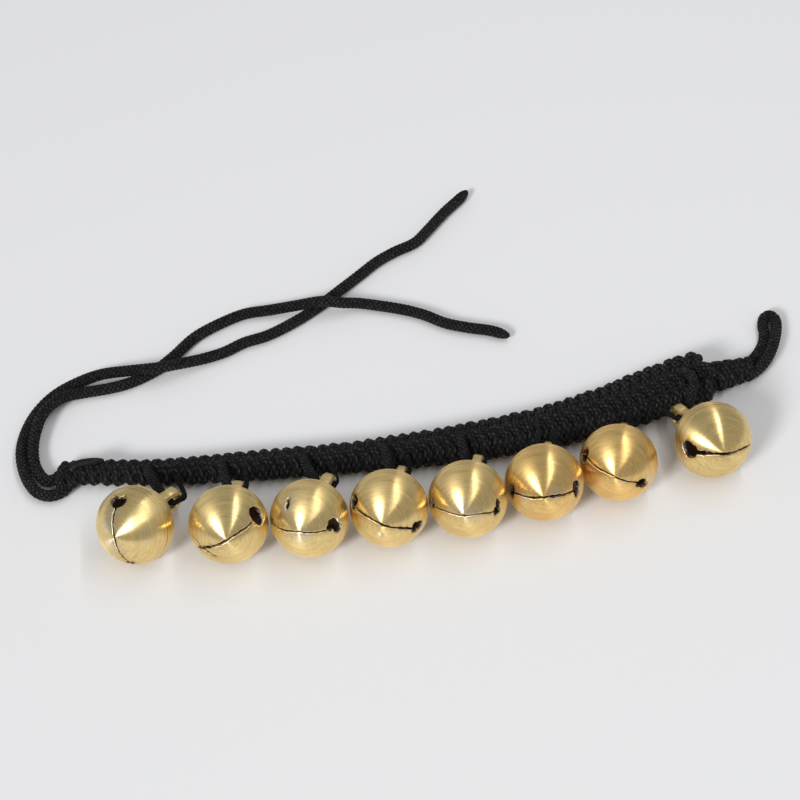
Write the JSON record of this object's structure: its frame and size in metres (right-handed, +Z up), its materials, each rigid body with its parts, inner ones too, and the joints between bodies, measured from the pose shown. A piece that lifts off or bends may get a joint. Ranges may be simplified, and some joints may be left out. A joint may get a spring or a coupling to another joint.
{
  "type": "ghungroo ankle bells",
  "caption": "String of round brass crotal bells on a knotted black cord band, with tie ends and a fastening loop, worn round a dancer's ankle.",
  "frame": {"origin": "on the table, under the middle of the band and bells without the ties and the loop", "axes": "+X along the band from the tie ends to the loop, +Y from the bells to the ties, +Z up from the table"},
  "size_m": [0.2513, 0.1501, 0.0237],
  "materials": {
    "brass": "turned and brushed",
    "pellet": "rough",
    "cord": "braided, matt"
  },
  "bodies": {
    "band": {"knotted_sleeve": "cord", "core_strand_near": "cord", "core_strand_far": "cord", "hanger_tails_near": "cord", "hanger_tails_far": "cord", "end_tuck": "cord", "fastening_loop": "cord", "tie_cord_a": "cord", "tie_cord_b": "cord", "bell_1_hanger": "cord", "bell_2_hanger": "cord", "bell_3_hanger": "cord", "bell_4_hanger": "cord", "bell_5_hanger": "cord", "bell_6_hanger": "cord", "bell_7_hanger": "cord", "bell_8_hanger": "cord"},
    "bell_1": {"bell_1_crown": "brass", "bell_1_bowl": "brass"},
    "pellet_1": {"bell_1_pellet": "pellet"},
    "bell_2": {"bell_2_crown": "brass", "bell_2_bowl": "brass"},
    "pellet_2": {"bell_2_pellet": "pellet"},
    "bell_3": {"bell_3_crown": "brass", "bell_3_bowl": "brass"},
    "pellet_3": {"bell_3_pellet": "pellet"},
    "bell_4": {"bell_4_crown": "brass", "bell_4_bowl": "brass"},
    "pellet_4": {"bell_4_pellet": "pellet"},
    "bell_5": {"bell_5_crown": "brass", "bell_5_bowl": "brass"},
    "pellet_5": {"bell_5_pellet": "pellet"},
    "bell_6": {"bell_6_crown": "brass", "bell_6_bowl": "brass"},
    "pellet_6": {"bell_6_pellet": "pellet"},
    "bell_7": {"bell_7_crown": "brass", "bell_7_bowl": "brass"},
    "pellet_7": {"bell_7_pellet": "pellet"},
    "bell_8": {"bell_8_crown": "brass", "bell_8_bowl": "brass"},
    "pellet_8": {"bell_8_pellet": "pellet"}
  },
  "joints": [
    {"name": "bell_1_swing", "type": "hinge", "parent": "band", "child": "bell_1", "pos_m": [-0.07841, -0.00197, 0.00904], "axis": [-0.6428, 0.766, 0], "range_deg": [-50, 30]},
    {"name": "pellet_1_roll", "type": "hinge", "parent": "bell_1", "child": "pellet_1", "pos_m": [-0.08947, -0.01124, 0.01185], "axis": [-0.6428, 0.766, 0], "continuous": true},
    {"name": "bell_2_swing", "type": "hinge", "parent": "band", "child": "bell_2", "pos_m": [-0.05766, -0.00213, 0.00904], "axis": [-0.9511, 0.309, 0], "range_deg": [-50, 30]},
    {"name": "pellet_2_roll", "type": "hinge", "parent": "bell_2", "child": "pellet_2", "pos_m": [-0.06211, -0.01585, 0.01185], "axis": [-0.9511, 0.309, 0], "continuous": true},
    {"name": "bell_3_swing", "type": "hinge", "parent": "band", "child": "bell_3", "pos_m": [-0.03117, -0.00515, 0.009], "axis": [-0.8746, 0.4848, 0], "range_deg": [-50, 30]},
    {"name": "pellet_3_roll", "type": "hinge", "parent": "bell_3", "child": "pellet_3", "pos_m": [-0.03816, -0.01777, 0.0118], "axis": [-0.8746, 0.4848, 0], "continuous": true},
    {"name": "bell_4_swing", "type": "hinge", "parent": "band", "child": "bell_4", "pos_m": [-0.0083, -0.005, 0.00907], "axis": [-0.9135, 0.4067, 0], "range_deg": [-50, 30]},
    {"name": "pellet_4_roll", "type": "hinge", "parent": "bell_4", "child": "pellet_4", "pos_m": [-0.01417, -0.01819, 0.01187], "axis": [-0.9135, 0.4067, 0], "continuous": true},
    {"name": "bell_5_swing", "type": "hinge", "parent": "band", "child": "bell_5", "pos_m": [0.01514, -0.00554, 0.00907], "axis": [-0.9272, 0.3746, 0], "range_deg": [-50, 30]},
    {"name": "pellet_5_roll", "type": "hinge", "parent": "bell_5", "child": "pellet_5", "pos_m": [0.00974, -0.01892, 0.01187], "axis": [-0.9272, 0.3746, 0], "continuous": true},
    {"name": "bell_6_swing", "type": "hinge", "parent": "band", "child": "bell_6", "pos_m": [0.03785, -0.00288, 0.00904], "axis": [-0.9563, 0.2924, 0], "range_deg": [-50, 30]},
    {"name": "pellet_6_roll", "type": "hinge", "parent": "bell_6", "child": "pellet_6", "pos_m": [0.03363, -0.01668, 0.01185], "axis": [-0.9563, 0.2924, 0], "continuous": true},
    {"name": "bell_7_swing", "type": "hinge", "parent": "band", "child": "bell_7", "pos_m": [0.06247, 0.00043, 0.00904], "axis": [-0.9397, 0.342, 0], "range_deg": [-50, 30]},
    {"name": "pellet_7_roll", "type": "hinge", "parent": "bell_7", "child": "pellet_7", "pos_m": [0.05754, -0.01313, 0.01185], "axis": [-0.9397, 0.342, 0], "continuous": true},
    {"name": "bell_8_swing", "type": "hinge", "parent": "band", "child": "bell_8", "pos_m": [0.08158, 0.00334, 0.00904], "axis": [-0.891, -0.454, 0], "range_deg": [-50, 30]},
    {"name": "pellet_8_roll", "type": "hinge", "parent": "bell_8", "child": "pellet_8", "pos_m": [0.08814, -0.00952, 0.01185], "axis": [-0.891, -0.454, 0], "continuous": true}
  ]
}
